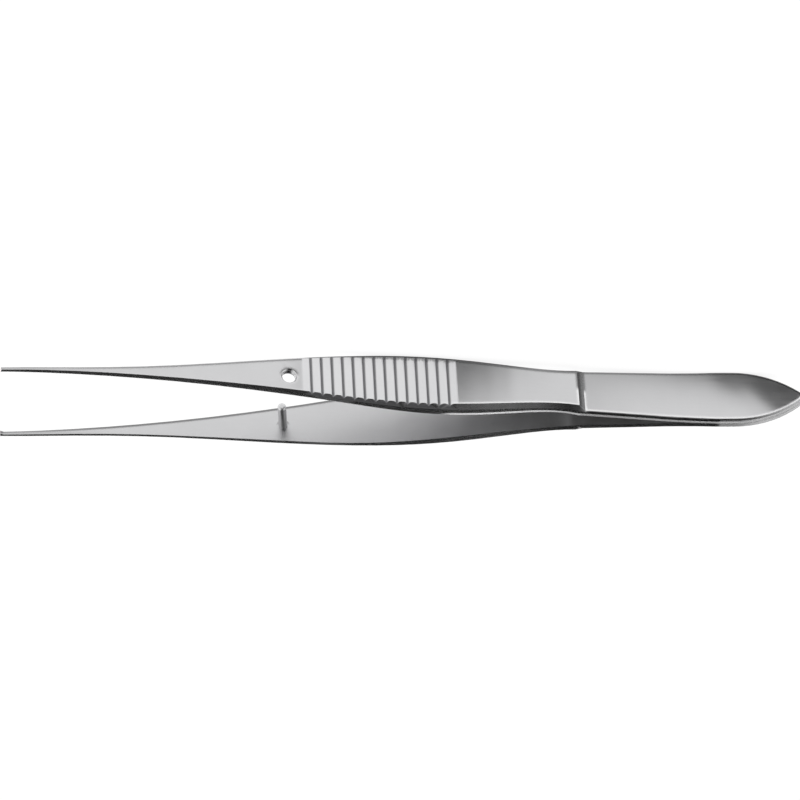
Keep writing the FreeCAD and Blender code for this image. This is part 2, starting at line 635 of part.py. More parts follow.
def lay_down(doc, holed, pinned, pin):
    """Turn the second arm and its pin round, lay all of it on its side on the table and centre it there."""
    bodies = (holed, pinned, pin)
    half_turn = Placement(Vector(0, 0, 0), Rotation(Vector(1, 0, 0), 180))
    on_side = Placement(Vector(0, 0, 0), Rotation(Vector(1, 0, 0), 90))
    holed.Placement = on_side
    pinned.Placement = on_side.multiply(half_turn)
    pin.Placement = on_side.multiply(half_turn)
    doc.recompute()
    whole = Part.makeCompound([body.Shape for body in bodies])
    tilt = Placement(Vector(0, 0, 0), Rotation(Vector(0, 1, 0), math.degrees(rest_angle(whole))))
    for body in bodies:
        body.Placement = tilt.multiply(body.Placement)
    doc.recompute()
    box = Part.makeCompound([body.Shape for body in bodies]).optimalBoundingBox()
    shift = Placement(Vector(-box.Center.x, -box.Center.y, -box.ZMin), Rotation())
    for body in bodies:
        body.Placement = shift.multiply(body.Placement)
    doc.recompute()


def check(doc, bodies):
    """Stop if any feature failed or any sub-part has no valid solid."""
    for feature in doc.Objects:
        if "Invalid" in feature.State or "Error" in feature.State:
            raise RuntimeError("%s failed" % feature.Name)
    for body in bodies:
        if body.Shape.isNull() or not body.Shape.isValid() or len(body.Shape.Solids) != 1:
            raise RuntimeError("%s has no valid solid" % body.Label)


def main():
    doc = FreeCAD.newDocument("thumb_forceps")
    fill_sheet(doc)
    holed = hole_arm(doc)
    pinned = pin_arm(doc)
    pin = guide_pin(doc)
    doc.recompute()
    lay_down(doc, holed, pinned, pin)
    bodies = [holed, pinned, pin]
    check(doc, bodies)
    os.makedirs("parts", exist_ok=True)
    for body in bodies:
        body.Shape.exportStep("parts/%s.step" % body.Label)
        print(body.Label, "volume", round(body.Shape.Volume, 3))
    return doc


main()
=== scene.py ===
import math
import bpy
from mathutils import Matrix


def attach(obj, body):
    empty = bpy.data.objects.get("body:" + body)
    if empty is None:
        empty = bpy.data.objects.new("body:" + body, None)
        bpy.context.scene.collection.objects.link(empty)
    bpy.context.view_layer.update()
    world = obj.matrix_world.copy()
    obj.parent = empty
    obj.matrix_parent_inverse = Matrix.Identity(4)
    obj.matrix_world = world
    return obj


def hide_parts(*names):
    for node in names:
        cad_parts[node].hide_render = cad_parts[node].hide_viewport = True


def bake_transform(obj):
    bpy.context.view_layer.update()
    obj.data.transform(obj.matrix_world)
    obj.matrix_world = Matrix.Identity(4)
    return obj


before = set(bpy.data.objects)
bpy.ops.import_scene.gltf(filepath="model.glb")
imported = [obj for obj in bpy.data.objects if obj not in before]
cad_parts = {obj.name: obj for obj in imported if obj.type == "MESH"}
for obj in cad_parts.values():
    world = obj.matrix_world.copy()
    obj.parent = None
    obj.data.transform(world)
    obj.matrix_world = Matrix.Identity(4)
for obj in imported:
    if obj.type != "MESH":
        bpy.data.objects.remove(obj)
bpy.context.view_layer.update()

from types import SimpleNamespace

import bmesh
import bpy
from mathutils import Matrix, Vector
from mathutils.bvhtree import BVHTree

MM = 0.001

# how the photograph looks at the forceps, which lie on their side
LOOK_AT = Vector((0.132, 0.0, 3.832)) * MM
TO_CAMERA = Vector((0.091079, -0.848, 0.522043)).normalized()
IMAGE_RIGHT = Vector((-0.995828, -0.07953, 0.044659)).normalized()
CAMERA_DISTANCE = 570 * MM
LENS_MM = 205.97
SENSOR_MM = 36
SHIFT_RIGHT = -0.416 * MM
SHIFT_UP = 0.097 * MM

# the spring sections part at the weld and end at the foot of the shank
WELD_FRONT = Vector((-39.267, 0, 3.517)) * MM
SHANK_FOOT = Vector((-22.313, 0, 3.653)) * MM
BENDING_CUTS = 28
CUT_TOLERANCE = 0.0001 * MM

# the row of grooves on the grip, as the arm with the hole carries it
REAR_GROOVE = Vector((-5.132, -4.438, 3.82)) * MM
GROOVE_WAY = Vector((0.99492, -0.1007, 0.0))
GROOVE_PITCH = 1.325 * MM
GROOVE_COUNT = 14
GROOVE_REACH = 0.25 * MM
GROOVE_LAYER = 0.5 * MM

# where the inner face is felt with a probe, in millimetres
PROBE_START = -39.3
PROBE_STEP = 1.6
PROBE_COUNT = 25
PROBE_HEIGHT = 3.83
PROBE_SCALE = 4.0

# the turned guide pin
PIN_RADIUS = 0.54 * MM
PIN_FLAT_RADIUS = 0.25 * MM
PIN_DOME = 0.26 * MM
PIN_RINGS = 12
PIN_SIDES = 48
AXIS_ROUNDS = 4
END_SHARE = 0.02

# the meshes: how copies are joined, and how their edges are broken and shaded
MERGE_DISTANCE = 0.0004 * MM
PLANAR_ANGLE = math.radians(0.25)
EDGE_BREAK = 0.045 * MM
EDGE_SEGMENTS = 2
SHARP_ANGLE = math.radians(24)
PIN_SHARP_ANGLE = math.radians(35)
FLAT_FACE_WEIGHT = 60

# colours of the steel, of its worn and highlit edges and of the painted shade in its grooves; the width of
# its rounded edges, and of the edge band that carries wear, painted highlight and painted shade
STEEL = (0.67, 0.67, 0.678)
# the edges worn bright on the pin, and the painted highlight on the upper edges of the arms
WEAR_AND_HIGHLIGHT_STEEL = (0.96, 0.96, 0.965, 1)
# the painted shade in the bottoms of the grooves
GROOVE_SHADE = (0.2, 0.2, 0.21, 1)
EDGE_ROUND = 0.09 * MM
EDGE_BAND = 0.6 * MM
EDGE_SAMPLES = 8

# how strong the traces of making and of use, the painted shade and the painted highlight are
# how strongly the painted shade covers the grooves, the roughness there, and at which groove depth the
# shade is full
GROOVE_SHADE_COVER = 0.8
GROOVE_ROUGHNESS = 0.5
GROOVE_SHADE_DEPTH = 0.6
# painted shade on the lower edges of the broad faces
LOW_EDGE_SHADE = 0.62
EDGE_ROLL = 0.21
WELD_ROLL = 0.66
EDGE_GLOSS = 0.7
EDGE_BRUSH = 0.12
RIB_TONE = 1.14
PIN_WEAR = 0.5
# how much of the painted edge highlight is left at the tips
TIP_HIGHLIGHT = 0.1

# lowest and highest roughness, and the height of the belt lines
ARM_FINISH = (0.34, 0.42, 0.0014 * MM)
PIN_FINISH = (0.3, 0.38, 0.0005 * MM)

# noises: waves in a metre along each axis, detail, roughness
BELT_LINES = ((240.0, 4600.0, 4600.0), 3.0, 0.6)
STREAKS = ((40.0, 900.0, 900.0), 2.0, 0.5)
CLOUDS = ((170.0, 170.0, 170.0), 3.0, 0.55)
GRIT = ((8000.0, 8000.0, 8000.0), 1.0, 0.5)

# how the noises are mixed, and what a range of the mixture gives
LINES_IN_MOTTLE = 0.5
MOTTLE_TONE = (0.5, 1.0, 0.955, 1.03)
LINES_IN_BELT = 0.6
CLOUDS_IN_BELT = 0.4
BELT_RANGE = (0.35, 0.65)
GRIT_IN_RELIEF = 0.3
# how the streaks break up the painted edge highlight
STREAKS_IN_HIGHLIGHT = (0.35, 0.6, 0.7, 1.0)

# the broad faces: their middle line, half their width, and how square to Y they stand
MIDDLE_RISE = 0.008
MIDDLE_HEIGHT = 3.83 * MM
HALF_WIDTH = 3.3 * MM
BROAD_FACE = 0.8

# slopes, tints and painted shade of the arms, where a list holds pairs of a place in millimetres and a
# level there
RIB_SCALE = 2.0
SLOPE_SCALE = 0.6
BUTT_SLANT = 0.55
SLOPE_LOST_AT_EDGE = 0.9
OUTER_LEAN = [
    (-50, 0.5), (-46.5, 0.45), (-43, 0.25), (-37, 0.14), (-30, 0.14), (-22.4, 0.2), (-21.8, 0.0),
    (-19, 0.02), (-17, 0.08), (-14.4, 0.13), (-12, 0.24), (-9.4, 0.29), (-6.2, 0.34), (-6.0, 0.0),
    (13.0, 0.0), (13.2, 0.17), (17, 0.0)]
OUTER_HOLLOW = [
    (-50, 0.05), (-45, 0.14), (-42, 0.22), (-37, 0.2), (-30, 0.15), (-22.4, 0.06), (-21.8, 0.1),
    (-6.2, 0.08), (-6.0, 0.0)]
INNER_LEAN = [
    (-22, 0.6), (-19.5, 0.46), (-17, 0.3), (-14.5, 0.21), (-9.5, 0.12), (-5.7, 0.07), (-2, 0.04),
    (2, 0.0)]
BRIGHT_RIBS = [(-6.3, 1.0), (-6.0, RIB_TONE), (13.0, RIB_TONE), (13.2, 1.0)]
# painted shade on the inner faces and edges, deepest toward the weld
INNER_SHADE = [(-20, 0.6), (-15, 0.88), (-11, 1.0)]
# painted shade in the corner of the step
STEP_SHADE = [(-22.8, 0.0), (-22.4, 0.25), (-22.1, 0.4), (-21.7, 0.78), (-21.2, 0.84), (-21.0, 0.0)]

# where a share comes up: first the place or value at which it starts, then the one at which it is full
SLANT_PLACES = (-36 * MM, -42 * MM)
REAR_HALF = (-3 * MM, -6 * MM)
# where the painted edge highlight rises to full, toward the butt
HIGHLIGHT_RISE = (-3 * MM, -8 * MM)
WELDED_END = (-38.8 * MM, -39.6 * MM)
UPPER_SIDE = (-0.4 * MM, 0.4 * MM)
INNER_EDGE = (0.5 * MM, 0.34 * MM)
RIB_ENDS = (2.7 * MM, 2.95 * MM)
STEEP_FACE = (0.25, 0.35)
EDGE_TURN = (0.9998, 0.994)

# the studio: brightness, and the parts of a direction between which each light comes up
ROOF_LEVEL = 0.01
WALL_LEVEL = 0.95
WINDOW_LEVEL = 1.5
TIP_WALL = (0.18, 0.62)
BUTT_WALL = (-0.26, -0.82)
WINDOW_SILL = (0.01, 0.06)
WINDOW_HEAD = (0.2, 0.27)
WINDOW_SIDE = (0.4, 0.6)

# the floor: how far its shade reaches, and how open sky becomes brightness in the metal and to the eye
FLOOR_SIZE = 3.0
SHADE_REACH = 3.2 * MM
SHADE_SAMPLES = 8
METAL_SHADE = (0.3, 0.85, 0.08, 0.95)
EYE_SHADE = (0.1, 0.8, 0.86, 0.96)
PALE_FLOOR = (0.8, 0.8, 0.8, 1)
DIM_FLOOR = (0.2, 0.2, 0.2, 1)
WHITE = (1, 1, 1, 1)


class Graph:
    """Short way to add and join the nodes of a tree."""

    def __init__(self, tree):
        self.tree = tree

    def node(self, kind, sockets=None, **settings):
        """Add a node. Its sockets take a value or another node's socket, and settings are its own."""
        made = self.tree.nodes.new(kind)
        for key, value in settings.items():
            setattr(made, key, value)
        for key, value in (sockets or {}).items():
            if isinstance(value, bpy.types.NodeSocket):
                self.tree.links.new(value, made.inputs[key])
            else:
                made.inputs[key].default_value = value
        return made

    def calc(self, operation, *terms, clamp=False):
        """One Math node with its terms."""
        made = self.node("ShaderNodeMath", dict(enumerate(terms)), operation=operation, use_clamp=clamp)
        return made.outputs[0]

    def product(self, first, *factors):
        """Multiply any number of terms."""
        for factor in factors:
            first = self.calc("MULTIPLY", first, factor)
        return first

    def opposite(self, share):
        """What is left of one."""
        return self.calc("SUBTRACT", 1.0, share)

    def vector(self, operation, *terms):
        """One Vector Math node with its terms, giving a vector."""
        made = self.node("ShaderNodeVectorMath", dict(enumerate(terms)), operation=operation)
        return made.outputs["Vector"]

    def dot(self, first, second):
        made = self.node("ShaderNodeVectorMath", {0: first, 1: second}, operation="DOT_PRODUCT")
        return made.outputs["Value"]

    def scaled(self, vector, factor):
        made = self.node("ShaderNodeVectorMath", {0: vector, "Scale": factor}, operation="SCALE")
        return made.outputs["Vector"]

    def spread(self, value, start, end, low, high, smooth=True):
        """Map a value between two places to two levels."""
        kind = "SMOOTHSTEP" if smooth else "LINEAR"
        sockets = {"Value": value, "From Min": start, "From Max": end, "To Min": low, "To Max": high}
        return self.node("ShaderNodeMapRange", sockets, interpolation_type=kind).outputs["Result"]

    def blend_colours(self, factor, first, second):
        """Mix two colours, which the node takes in its sockets 6 and 7."""
        sockets = {0: factor, 6: first, 7: second}
        return self.node("ShaderNodeMix", sockets, data_type="RGBA").outputs[2]

    def blend_values(self, factor, first, second):
        """Mix two values, which the node takes in its sockets 2 and 3."""
        return self.node("ShaderNodeMix", {0: factor, 2: first, 3: second}, data_type="FLOAT").outputs[0]

    def noise(self, place, stretch, detail, rough):
        """Noise whose number of waves in a metre is given along each axis."""
        mapped = self.node("ShaderNodeMapping", {"Vector": place, "Scale": stretch}).outputs["Vector"]
        sockets = {"Vector": mapped, "Scale": 1.0, "Detail": detail, "Roughness": rough}
        return self.node("ShaderNodeTexNoise", sockets).outputs["Fac"]


def new_object(name, mesh):
    made = bpy.data.objects.new(name, mesh)
    bpy.context.scene.collection.objects.link(made)
    return made


def clear_defaults():
    """Remove the objects that a new file starts with."""
    for name in ("Cube", "Light", "Camera"):
        left = bpy.data.objects.get(name)
        if left is not None:
            bpy.data.objects.remove(left, do_unlink=True)


# trees of geometry nodes

def new_tree(name, inputs):
    """A geometry tree with named inputs. Gives the graph, the sockets of its inputs and its output node."""
    tree = bpy.data.node_groups.new(name, "GeometryNodeTree")
    for label, kind, value in inputs:
        socket = tree.interface.new_socket(name=label, in_out="INPUT", socket_type=kind)
        if value is not None:
            socket.default_value = value
    tree.interface.new_socket(name="Geometry", in_out="OUTPUT", socket_type="NodeSocketGeometry")
    graph = Graph(tree)
    given = graph.node("NodeGroupInput").outputs
    result = graph.node("NodeGroupOutput")
    return graph, given, result


def made_by_tree(piece, tree, values):
    """Run a tree on a piece and keep its result as a plain mesh."""
    modifier = piece.modifiers.new(tree.name, "NODES")
    modifier.node_group = tree
    for item in tree.interface.items_tree:
        if item.in_out == "INPUT" and item.name in values:
            modifier[item.identifier] = values[item.name]
    evaluated = piece.evaluated_get(bpy.context.evaluated_depsgraph_get())
    finished = bpy.data.meshes.new_from_object(evaluated)
    piece.modifiers.clear()
    finished.name = piece.name
    piece.data = finished


def turned_pin_tree():
    """A pin as the lathe makes it: a straight shaft with a domed end that has a small flat."""
    graph, given, result = new_tree("turned_pin", [
        ("Geometry", "NodeSocketGeometry", None),
        ("Foot", "NodeSocketVector", (0, 0, 0)),
        ("Tip", "NodeSocketVector", (0, 0, 5 * MM)),
        ("Radius", "NodeSocketFloat", PIN_RADIUS),
        ("Flat Radius", "NodeSocketFloat", PIN_FLAT_RADIUS),
        ("Dome Height", "NodeSocketFloat", PIN_DOME),
        ("Rings", "NodeSocketInt", PIN_RINGS),
        ("Sides", "NodeSocketInt", PIN_SIDES),
        ("Finish", "NodeSocketMaterial", None)])
    line = graph.node("GeometryNodeCurvePrimitiveLine", {"Start": given["Foot"], "End": given["Tip"]})
    count = graph.calc("ADD", given["Rings"], 2.0)
    points = graph.node("GeometryNodeResampleCurve", {"Curve": line.outputs["Curve"], "Count": count})
    index = graph.node("GeometryNodeInputIndex").outputs["Index"]
    turn = graph.calc("DIVIDE", graph.calc("SUBTRACT", index, 1.0), given["Rings"], clamp=True)
    quarter = graph.product(turn, math.pi / 2)
    whole = graph.vector("SUBTRACT", given["Tip"], given["Foot"])
    length = graph.node("ShaderNodeVectorMath", {0: whole}, operation="LENGTH").outputs["Value"]
    dome_share = graph.calc("DIVIDE", given["Dome Height"], length)
    left = graph.product(dome_share, graph.opposite(graph.calc("SINE", quarter)))
    share = graph.product(graph.opposite(left), graph.calc("MINIMUM", index, 1.0))
    place = graph.vector("ADD", given["Foot"], graph.scaled(whole, share))
    moved = graph.node("GeometryNodeSetPosition", {"Geometry": points.outputs["Curve"], "Position": place})
    round_part = graph.calc("SUBTRACT", given["Radius"], given["Flat Radius"])
    opening = graph.product(round_part, graph.calc("COSINE", quarter))
    width = graph.calc("ADD", given["Flat Radius"], opening)
    ring = graph.node("GeometryNodeCurvePrimitiveCircle", {"Resolution": given["Sides"], "Radius": 1.0})
    solid = graph.node("GeometryNodeCurveToMesh", {
        "Curve": moved.outputs["Geometry"], "Profile Curve": ring.outputs["Curve"],
        "Scale": width, "Fill Caps": True})
    real = graph.node("GeometryNodeRealizeInstances", {"Geometry": solid.outputs["Mesh"]})
    finish = graph.node("GeometryNodeSetMaterial", {
        "Geometry": real.outputs["Geometry"], "Material": given["Finish"]})
    graph.tree.links.new(finish.outputs["Geometry"], result.inputs["Geometry"])
    return graph.tree


def ribbed_blade_tree():
    """Marks how deep each point lies in the evenly spaced grooves of the grip, and sets the finish."""
    graph, given, result = new_tree("ribbed_blade", [
        ("Geometry", "NodeSocketGeometry", None),
        ("Rear Groove", "NodeSocketVector", (0, 0, 0)),
        ("Way", "NodeSocketVector", (1, 0, 0)),
        ("Pitch", "NodeSocketFloat", GROOVE_PITCH),
        ("Count", "NodeSocketInt", GROOVE_COUNT),
        ("Reach", "NodeSocketFloat", GROOVE_REACH),
        ("Layer", "NodeSocketFloat", GROOVE_LAYER),
        ("Finish", "NodeSocketMaterial", None)])
    place = graph.node("GeometryNodeInputPosition").outputs["Position"]
    from_rear = graph.vector("SUBTRACT", place, given["Rear Groove"])
    along = graph.dot(from_rear, given["Way"])
    steps = graph.calc("DIVIDE", along, given["Pitch"])
    nearest = graph.calc("ROUND", steps)
    off_step = graph.calc("ABSOLUTE", graph.calc("SUBTRACT", steps, nearest))
    aside = graph.product(off_step, given["Pitch"])
    in_groove = graph.calc("SUBTRACT", 1.0, graph.calc("DIVIDE", aside, given["Reach"]), clamp=True)
    after_rear = graph.calc("GREATER_THAN", nearest, -0.5)
    before_front = graph.calc("LESS_THAN", nearest, graph.calc("SUBTRACT", given["Count"], 0.5))
    in_row = graph.product(after_rear, before_front)
    on_line = graph.scaled(given["Way"], along)
    off_line = graph.vector("SUBTRACT", from_rear, on_line)
    off_parts = graph.node("ShaderNodeSeparateXYZ", {0: off_line})
    under = graph.calc("ABSOLUTE", off_parts.outputs["Y"])
    near_face = graph.calc("LESS_THAN", under, given["Layer"])
    depth = graph.product(in_groove, in_row, near_face)
    marked = graph.node("GeometryNodeStoreNamedAttribute", {
        "Geometry": given["Geometry"], "Name": "groove", "Value": depth}, data_type="FLOAT", domain="POINT")
    real = graph.node("GeometryNodeRealizeInstances", {"Geometry": marked.outputs["Geometry"]})
    finish = graph.node("GeometryNodeSetMaterial", {
        "Geometry": real.outputs["Geometry"], "Material": given["Finish"]})
    graph.tree.links.new(finish.outputs["Geometry"], result.inputs["Geometry"])
    return graph.tree


# steel

def ramp(graph, along, scale, stops, eased=True):
    """Levels at places along the forceps, joined by an even or a straight line.

    stops are pairs of a place in millimetres and a level. The ramp holds each level as a part of scale.
    """
    low = stops[0][0]
    high = stops[-1][0]
    place = graph.spread(along, low * MM, high * MM, 0.0, 1.0, smooth=False)
    line = graph.node("ShaderNodeValToRGB", {"Fac": place})
    line.color_ramp.interpolation = "EASE" if eased else "LINEAR"
    keys = line.color_ramp.elements
    while len(keys) < len(stops):
        keys.new(0.5)
    for key, (spot, level) in zip(keys, stops):
        key.position = (spot - low) / (high - low)
        share = level / scale
        key.color = (share, share, share, 1)
    shown = graph.node("ShaderNodeSeparateColor", {"Color": line.outputs["Color"]}).outputs["Red"]
    return graph.product(shown, scale)


def inner_line():
    """How far the inner face of the near arm lies from the middle, in millimetres, felt with a probe."""
    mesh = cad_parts["hole_arm"].data
    corners = [vertex.co for vertex in mesh.vertices]
    surface = BVHTree.FromPolygons(corners, [face.vertices for face in mesh.polygons])
    line = []
    for number in range(PROBE_COUNT):
        spot = PROBE_START + number * PROBE_STEP
        start = Vector((spot, PROBE_STEP, PROBE_HEIGHT)) * MM
        found = surface.ray_cast(start, Vector((0, -1, 0)))[0]
        line.append((spot, abs(found.y) / MM))
    return line


def arm_zones(graph, place, face, outer_side):
    """Where a point lies on an arm: along it, across its width, and on which of its faces.

    outer_side is the sign of Y on the outer face.
    """
    parts = graph.node("ShaderNodeSeparateXYZ", {0: place}).outputs
    middle = graph.calc("MULTIPLY_ADD", parts["X"], MIDDLE_RISE, MIDDLE_HEIGHT)
    across = graph.calc("SUBTRACT", parts["Z"], middle)
    facing = graph.node("ShaderNodeSeparateXYZ", {0: face}).outputs
    outward = graph.product(facing["Y"], outer_side)
    outer = graph.calc("GREATER_THAN", outward, BROAD_FACE)
    inner = graph.calc("LESS_THAN", outward, -BROAD_FACE)
    return SimpleNamespace(
        along=parts["X"], aside=parts["Y"], across=across, facing=facing, outer=outer, inner=inner,
        edge=graph.opposite(graph.calc("ADD", outer, inner)),
        upper=graph.spread(across, *UPPER_SIDE, 0.0, 1.0))


def ground_normal(graph, zones, rounded, at_edge, outer_side):
    """The normal of the broad faces as the grinding belt leaves them, slightly leaning and hollow.

    The lean and the hollow are slopes that turn a face up to its upper edge.
    """
    slant = graph.spread(zones.along, *SLANT_PLACES, 0.0, BUTT_SLANT)
    slanting = graph.calc("MULTIPLY_ADD", zones.across, slant, zones.along)
    depth = ramp(graph, zones.along, SLOPE_SCALE, OUTER_HOLLOW)
    hollow = graph.product(depth, graph.calc("DIVIDE", zones.across, HALF_WIDTH))
    outer_slope = graph.calc("SUBTRACT", ramp(graph, slanting, SLOPE_SCALE, OUTER_LEAN), hollow)
    kept_slope = graph.opposite(graph.product(at_edge, zones.upper, SLOPE_LOST_AT_EDGE))
    outer_turn = graph.product(zones.outer, outer_slope, kept_slope)
    inner_slope = ramp(graph, zones.along, SLOPE_SCALE, INNER_LEAN)
    turn = graph.calc("MULTIPLY_ADD", zones.inner, inner_slope, outer_turn)

    # the inner long edge of the near arm is rounded by hand, and so is the welded end
    inner_face = graph.product(ramp(graph, zones.along, PROBE_SCALE, inner_line(), eased=False), MM)
    from_inner = graph.calc("SUBTRACT", graph.calc("ABSOLUTE", zones.aside), inner_face)
    near_inner = graph.spread(from_inner, *INNER_EDGE, 0.0, 1.0)
    rear_half = graph.spread(zones.along, *REAR_HALF, 0.0, 1.0)
    rounding = graph.product(near_inner, rear_half, -outer_side)
    welded = graph.spread(zones.along, *WELDED_END, 0.0, WELD_ROLL)
    rolled = graph.product(graph.calc("MAXIMUM", rounding, welded), zones.edge, EDGE_ROLL)

    turned = graph.node("ShaderNodeCombineXYZ", {"Y": rolled, "Z": turn}).outputs["Vector"]
    return graph.vector("NORMALIZE", graph.vector("ADD", rounded, turned))


def arm_tone_and_painted_light(graph, zones, at_edge, streaks, tone):
    """The tone of an arm with its painted shade, and where its upper edges carry a painted highlight."""
    # the ribs are polished bright, and the inner faces and edges carry painted shade that deepens toward
    # the weld
    bright_ribs = ramp(graph, zones.along, RIB_SCALE, BRIGHT_RIBS)
    inner_shade = ramp(graph, zones.along, 1.0, INNER_SHADE)
    tone = graph.product(tone, graph.blend_values(zones.outer, inner_shade, bright_ribs))

    # painted highlight along the upper edges of the outer face, broken by streaks and fainter toward the
    # tips, but not on the crests of the ribs
    in_ribs = graph.product(graph.spread(bright_ribs, 1.0, RIB_TONE, 0.0, 1.0), zones.outer)
    off_crests = graph.spread(graph.calc("ABSOLUTE", zones.across), *RIB_ENDS, 0.0, 1.0)
    at_edge = graph.product(at_edge, graph.blend_values(in_ribs, 1.0, off_crests))
    highlight_share = graph.spread(zones.along, *HIGHLIGHT_RISE, TIP_HIGHLIGHT, 1.0)
    streaked = graph.spread(streaks, *STREAKS_IN_HIGHLIGHT)
    wear_and_highlight = graph.product(at_edge, streaked, highlight_share, zones.upper, zones.outer)

    # painted shade on the lower edges of the broad faces and in the corner of the step
    flat = graph.opposite(zones.edge)
    low_edge_shade = graph.product(graph.opposite(zones.upper), flat, at_edge, LOW_EDGE_SHADE)
    # painted shade on the steep face of the step
    steep = graph.calc("ABSOLUTE", zones.facing["X"])
    on_step = graph.product(graph.spread(steep, *STEEP_FACE, 0.0, 1.0), zones.edge)
    step_corner_shade = graph.product(on_step, ramp(graph, zones.along, 1.0, STEP_SHADE))
    tone = graph.product(tone, graph.opposite(graph.calc("MAXIMUM", low_edge_shade, step_corner_shade)))
    return tone, wear_and_highlight


def steel(name, low, high, brush_height, outer_side):
    """Satin stainless steel: lengthwise belt lines, faint clouds, worn bright edges on the pin, a painted
    highlight on the upper edges of the arms, and painted shade in the rougher groove bottoms, on the lower
    edges, in the step and on the inner faces.

    low and high bound the roughness. outer_side is the sign of Y on the outer face of an arm, and 0 on
    a turned piece.
    """
    material = bpy.data.materials.new(name)
    material.use_nodes = True
    graph = Graph(material.node_tree)
    graph.tree.nodes.clear()
    place = graph.node("ShaderNodeTexCoord").outputs["Object"]
    lines = graph.noise(place, *BELT_LINES)
    streaks = graph.noise(place, *STREAKS)
    clouds = graph.noise(place, *CLOUDS)
    grit = graph.noise(place, *GRIT)
    mottle = graph.calc("MULTIPLY_ADD", lines, LINES_IN_MOTTLE, clouds)
    tone = graph.spread(mottle, *MOTTLE_TONE, smooth=False)
    belt = graph.calc("MULTIPLY_ADD", lines, LINES_IN_BELT, graph.product(clouds, CLOUDS_IN_BELT))
    rough = graph.spread(belt, *BELT_RANGE, low, high, smooth=False)

    face = graph.node("ShaderNodeNewGeometry").outputs["Normal"]
    rounded = graph.node("ShaderNodeBevel", {"Radius": EDGE_ROUND}, samples=EDGE_SAMPLES)
    normal = rounded.outputs["Normal"]
    wide_round = graph.node("ShaderNodeBevel", {"Radius": EDGE_BAND}, samples=EDGE_SAMPLES)
    at_edge = graph.spread(graph.dot(face, wide_round.outputs["Normal"]), *EDGE_TURN, 0.0, 1.0)
    if outer_side:
        zones = arm_zones(graph, place, face, outer_side)
        normal = ground_normal(graph, zones, normal, at_edge, outer_side)
        tone, wear_and_highlight = arm_tone_and_painted_light(graph, zones, at_edge, streaks, tone)
        rough = graph.product(rough, graph.spread(zones.edge, 0.0, 1.0, 1.0, EDGE_GLOSS))
        height = graph.spread(zones.edge, 0.0, 1.0, brush_height, EDGE_BRUSH * brush_height)
    else:
        wear_and_highlight = graph.product(at_edge, PIN_WEAR)
        height = brush_height

    groove = graph.node("ShaderNodeAttribute", attribute_name="groove").outputs["Fac"]
    # painted shade and extra roughness in the groove bottoms
    shaded_groove = graph.spread(groove, 0.0, GROOVE_SHADE_DEPTH, 0.0, 1.0)
    # the pin's worn edges and the painted highlight on the arms' upper edges, then the painted shade in the
    # grooves
    base = graph.blend_colours(wear_and_highlight, graph.scaled(STEEL, tone), WEAR_AND_HIGHLIGHT_STEEL)
    base = graph.blend_colours(graph.product(shaded_groove, GROOVE_SHADE_COVER), base, GROOVE_SHADE)
    rough = graph.blend_values(shaded_groove, rough, GROOVE_ROUGHNESS)
    relief = graph.calc("MULTIPLY_ADD", grit, GRIT_IN_RELIEF, lines)
    bump = graph.node("ShaderNodeBump", {
        "Strength": 1.0, "Distance": height, "Height": relief, "Normal": normal})
    shader = graph.node("ShaderNodeBsdfPrincipled", {
        "Base Color": base, "Metallic": 1.0, "Roughness": rough, "Normal": bump.outputs["Normal"]})
    graph.node("ShaderNodeOutputMaterial", {"Surface": shader.outputs["BSDF"]})
    return material


# the three pieces

def joined_copy(node_name, name):
    """A copy of a modelled node whose loose triangles are joined and whose flat faces are whole again."""
    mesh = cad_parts[node_name].data.copy()
    mesh.materials.clear()
    work = bmesh.new()
    work.from_mesh(mesh)
    bmesh.ops.remove_doubles(work, verts=work.verts, dist=MERGE_DISTANCE)
    bmesh.ops.dissolve_limit(work, angle_limit=PLANAR_ANGLE, verts=work.verts, edges=work.edges)
    work.to_mesh(mesh)
    work.free()
    mesh.name = name
    return new_object(name, mesh)


def cut_for_bending(piece):
    """Cross cuts through the spring section, so that a bend there would follow a smooth curve."""
    work = bmesh.new()
    work.from_mesh(piece.data)
    for number in range(BENDING_CUTS + 1):
        place = WELD_FRONT.lerp(SHANK_FOOT, number / BENDING_CUTS)
        parts = work.verts[:] + work.edges[:] + work.faces[:]
        bmesh.ops.bisect_plane(
            work, geom=parts, dist=CUT_TOLERANCE, plane_co=place, plane_no=(1, 0, 0))
    work.to_mesh(piece.data)
    work.free()


def break_edges(piece):
    """Slightly rounded edges and evenly shaded faces, as tumbling and polishing leave them."""
    piece.data.shade_smooth()
    piece.data.set_sharp_from_angle(angle=SHARP_ANGLE)
    bevel = piece.modifiers.new("edge_break", "BEVEL")
    bevel.width = EDGE_BREAK
    bevel.segments = EDGE_SEGMENTS
    bevel.limit_method = "ANGLE"
    bevel.angle_limit = SHARP_ANGLE
    bevel.miter_outer = "MITER_ARC"
    bevel.harden_normals = False
    even = piece.modifiers.new("even_normals", "WEIGHTED_NORMAL")
    even.keep_sharp = False
    even.weight = FLAT_FACE_WEIGHT


def blade(node_name, name, side, bends, tree, finish):
    """One arm: the modelled blade with broken edges, marked grooves and a satin finish."""
    piece = joined_copy(node_name, name)
    if bends:
        cut_for_bending(piece)
    break_edges(piece)
    mirrored = Vector((1, side, 1))
    made_by_tree(piece, tree, {
        "Rear Groove": REAR_GROOVE * mirrored, "Way": GROOVE_WAY * mirrored, "Pitch": GROOVE_PITCH,
        "Count": GROOVE_COUNT, "Reach": GROOVE_REACH, "Finish": finish})
    return piece


